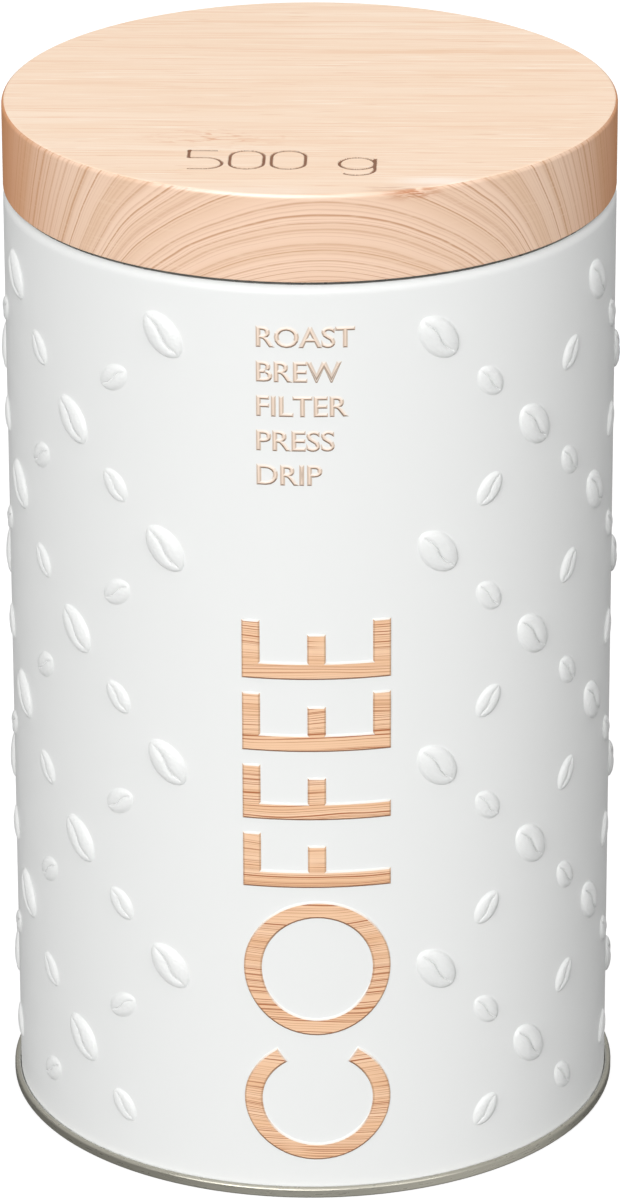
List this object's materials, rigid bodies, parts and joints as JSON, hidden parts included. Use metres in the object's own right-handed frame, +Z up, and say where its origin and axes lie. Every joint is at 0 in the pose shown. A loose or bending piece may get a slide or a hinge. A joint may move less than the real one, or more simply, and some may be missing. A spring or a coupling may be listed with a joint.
{
  "type": "coffee tin",
  "caption": "Tall round tinplate coffee tin: white wall with pressed beans and a word, rolled base ring, flush wood-print lid that lifts off.",
  "frame": {"origin": "centre of the base, at the level of the surface the tin stands on", "axes": "+Z up along the tin's axis, the printed front faces -Y, +X to the right of the front"},
  "size_m": [0.1104, 0.1104, 0.1885],
  "materials": {
    "white_coat": "satin white enamel over pressed tinplate, the word and list printed in wood colour",
    "wood_print": "satin wood-grain print on tinplate",
    "bare_tinplate": "bare tinplate, fine rolled grain, satin",
    "compound": "matte sealing compound",
    "silicone": "translucent white silicone, matte"
  },
  "bodies": {
    "canister": {"body_shell": "white_coat", "neck_ring": "bare_tinplate", "base_end": "bare_tinplate", "seam_compound": "compound"},
    "lid": {"lid_shell": "wood_print", "lid_plug": "bare_tinplate", "lid_seal": "silicone"}
  },
  "joints": [
    {"name": "lid_lift", "type": "slide", "parent": "canister", "child": "lid", "axis": [0, 0, 1], "range_m": [0, 0.12]}
  ]
}
